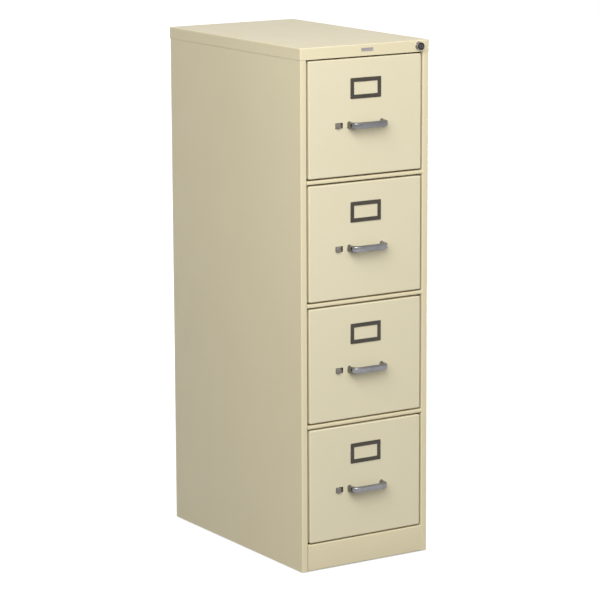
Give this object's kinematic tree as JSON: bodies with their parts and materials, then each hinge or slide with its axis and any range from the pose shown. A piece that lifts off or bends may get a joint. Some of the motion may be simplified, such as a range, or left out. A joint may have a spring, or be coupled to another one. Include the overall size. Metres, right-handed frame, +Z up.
{
  "type": "vertical file cabinet",
  "caption": "Tall vertical file cabinet with telescoping letter-size drawers, bar pulls, label frames, thumb latches and a gang lock.",
  "frame": {"origin": "on the floor, in the middle of the cabinet's overall box, which takes in the pulls", "axes": "+X to the right as seen from the front, +Y from the front to the back, +Z up"},
  "size_m": [0.381, 0.666, 1.321],
  "materials": {
    "case_paint": "semi-gloss baked enamel, putty beige",
    "drawer_paint": "semi-gloss baked enamel, putty beige",
    "inner_zinc": "zinc plated sheet",
    "glide_nylon": "moulded nylon",
    "slide_zinc": "zinc plated, rolled",
    "ball_steel": "polished balls in a pressed cage",
    "plate_aluminium": "satin, blank",
    "lock_chrome": "chrome plated",
    "core_steel": "dark satin",
    "pull_chrome": "chrome plated",
    "screw_steel": "zinc plated",
    "label_steel": "dark nickel plated",
    "latch_plastic": "dark grey, fine texture",
    "follower_zinc": "zinc plated sheet"
  },
  "bodies": {
    "case": {"side_panel_right": "case_paint", "side_panel_left": "case_paint", "back_panel": "case_paint", "top_cap": "case_paint", "toe_plate": "case_paint", "cross_rails": "case_paint", "uprights": "inner_zinc", "base_channels": "inner_zinc", "glides": "glide_nylon", "case_slides": "slide_zinc", "name_plate": "plate_aluminium", "lock_case": "lock_chrome"},
    "lock_plunger": {"lock_plunger": "lock_chrome"},
    "lock_core": {"lock_core": "core_steel"},
    "lock_crank": {"lock_crank": "inner_zinc"},
    "lock_bar": {"lock_bar": "inner_zinc"},
    "drawer_1": {"drawer_1_front": "drawer_paint", "drawer_1_liner": "drawer_paint", "drawer_1_tray": "drawer_paint", "drawer_1_pull": "pull_chrome", "drawer_1_pull_screws": "screw_steel", "drawer_1_label_holder": "label_steel", "drawer_1_slides": "slide_zinc"},
    "drawer_1_mid": {"drawer_1_mid_slides": "slide_zinc", "drawer_1_ball_cages": "ball_steel"},
    "drawer_1_latch": {"drawer_1_latch": "latch_plastic"},
    "drawer_1_follower": {"drawer_1_follower": "follower_zinc"},
    "drawer_2": {"drawer_2_front": "drawer_paint", "drawer_2_liner": "drawer_paint", "drawer_2_tray": "drawer_paint", "drawer_2_pull": "pull_chrome", "drawer_2_pull_screws": "screw_steel", "drawer_2_label_holder": "label_steel", "drawer_2_slides": "slide_zinc"},
    "drawer_2_mid": {"drawer_2_mid_slides": "slide_zinc", "drawer_2_ball_cages": "ball_steel"},
    "drawer_2_latch": {"drawer_2_latch": "latch_plastic"},
    "drawer_2_follower": {"drawer_2_follower": "follower_zinc"},
    "drawer_3": {"drawer_3_front": "drawer_paint", "drawer_3_liner": "drawer_paint", "drawer_3_tray": "drawer_paint", "drawer_3_pull": "pull_chrome", "drawer_3_pull_screws": "screw_steel", "drawer_3_label_holder": "label_steel", "drawer_3_slides": "slide_zinc"},
    "drawer_3_mid": {"drawer_3_mid_slides": "slide_zinc", "drawer_3_ball_cages": "ball_steel"},
    "drawer_3_latch": {"drawer_3_latch": "latch_plastic"},
    "drawer_3_follower": {"drawer_3_follower": "follower_zinc"},
    "drawer_4": {"drawer_4_front": "drawer_paint", "drawer_4_liner": "drawer_paint", "drawer_4_tray": "drawer_paint", "drawer_4_pull": "pull_chrome", "drawer_4_pull_screws": "screw_steel", "drawer_4_label_holder": "label_steel", "drawer_4_slides": "slide_zinc"},
    "drawer_4_mid": {"drawer_4_mid_slides": "slide_zinc", "drawer_4_ball_cages": "ball_steel"},
    "drawer_4_latch": {"drawer_4_latch": "latch_plastic"},
    "drawer_4_follower": {"drawer_4_follower": "follower_zinc"}
  },
  "joints": [
    {"name": "lock_push", "type": "slide", "parent": "case", "child": "lock_plunger", "axis": [0, 1, 0], "range_m": [0, 0.01], "stiffness_N_per_m": 600, "springref_m": -0.008},
    {"name": "lock_key_turn", "type": "hinge", "parent": "lock_plunger", "child": "lock_core", "pos_m": [0.1595, -0.313, 1.306], "axis": [0, 1, 0], "range_deg": [0, 90]},
    {"name": "lock_crank_turn", "type": "hinge", "parent": "case", "child": "lock_crank", "pos_m": [0.168, -0.269, 1.29246], "axis": [1, 0, 0], "range_deg": [-42, 0]},
    {"name": "lock_bar_drop", "type": "slide", "parent": "case", "child": "lock_bar", "axis": [0, 0, -1], "range_m": [0, 0.01]},
    {"name": "drawer_1_slide", "type": "slide", "parent": "case", "child": "drawer_1", "axis": [0, -1, 0], "range_m": [0, 0.574]},
    {"name": "drawer_1_mid_slide", "type": "slide", "parent": "case", "child": "drawer_1_mid", "axis": [0, -1, 0], "range_m": [0, 0.287]},
    {"name": "drawer_1_latch_slide", "type": "slide", "parent": "drawer_1", "child": "drawer_1_latch", "axis": [1, 0, 0], "range_m": [0, 0.007], "stiffness_N_per_m": 300, "springref_m": -0.004},
    {"name": "drawer_1_follower_slide", "type": "slide", "parent": "drawer_1", "child": "drawer_1_follower", "axis": [0, -1, 0], "range_m": [0, 0.48]},
    {"name": "drawer_2_slide", "type": "slide", "parent": "case", "child": "drawer_2", "axis": [0, -1, 0], "range_m": [0, 0.574]},
    {"name": "drawer_2_mid_slide", "type": "slide", "parent": "case", "child": "drawer_2_mid", "axis": [0, -1, 0], "range_m": [0, 0.287]},
    {"name": "drawer_2_latch_slide", "type": "slide", "parent": "drawer_2", "child": "drawer_2_latch", "axis": [1, 0, 0], "range_m": [0, 0.007], "stiffness_N_per_m": 300, "springref_m": -0.004},
    {"name": "drawer_2_follower_slide", "type": "slide", "parent": "drawer_2", "child": "drawer_2_follower", "axis": [0, -1, 0], "range_m": [0, 0.48]},
    {"name": "drawer_3_slide", "type": "slide", "parent": "case", "child": "drawer_3", "axis": [0, -1, 0], "range_m": [0, 0.574]},
    {"name": "drawer_3_mid_slide", "type": "slide", "parent": "case", "child": "drawer_3_mid", "axis": [0, -1, 0], "range_m": [0, 0.287]},
    {"name": "drawer_3_latch_slide", "type": "slide", "parent": "drawer_3", "child": "drawer_3_latch", "axis": [1, 0, 0], "range_m": [0, 0.007], "stiffness_N_per_m": 300, "springref_m": -0.004},
    {"name": "drawer_3_follower_slide", "type": "slide", "parent": "drawer_3", "child": "drawer_3_follower", "axis": [0, -1, 0], "range_m": [0, 0.48]},
    {"name": "drawer_4_slide", "type": "slide", "parent": "case", "child": "drawer_4", "axis": [0, -1, 0], "range_m": [0, 0.574]},
    {"name": "drawer_4_mid_slide", "type": "slide", "parent": "case", "child": "drawer_4_mid", "axis": [0, -1, 0], "range_m": [0, 0.287]},
    {"name": "drawer_4_latch_slide", "type": "slide", "parent": "drawer_4", "child": "drawer_4_latch", "axis": [1, 0, 0], "range_m": [0, 0.007], "stiffness_N_per_m": 300, "springref_m": -0.004},
    {"name": "drawer_4_follower_slide", "type": "slide", "parent": "drawer_4", "child": "drawer_4_follower", "axis": [0, -1, 0], "range_m": [0, 0.48]}
  ],
  "couplings": [
    {"joint": "lock_crank_turn", "follows": "lock_push", "rad_per_m": -73.041},
    {"joint": "lock_bar_drop", "follows": "lock_push", "ratio": 1},
    {"joint": "drawer_1_mid_slide", "follows": "drawer_1_slide", "ratio": 0.5},
    {"joint": "drawer_2_mid_slide", "follows": "drawer_2_slide", "ratio": 0.5},
    {"joint": "drawer_3_mid_slide", "follows": "drawer_3_slide", "ratio": 0.5},
    {"joint": "drawer_4_mid_slide", "follows": "drawer_4_slide", "ratio": 0.5}
  ]
}
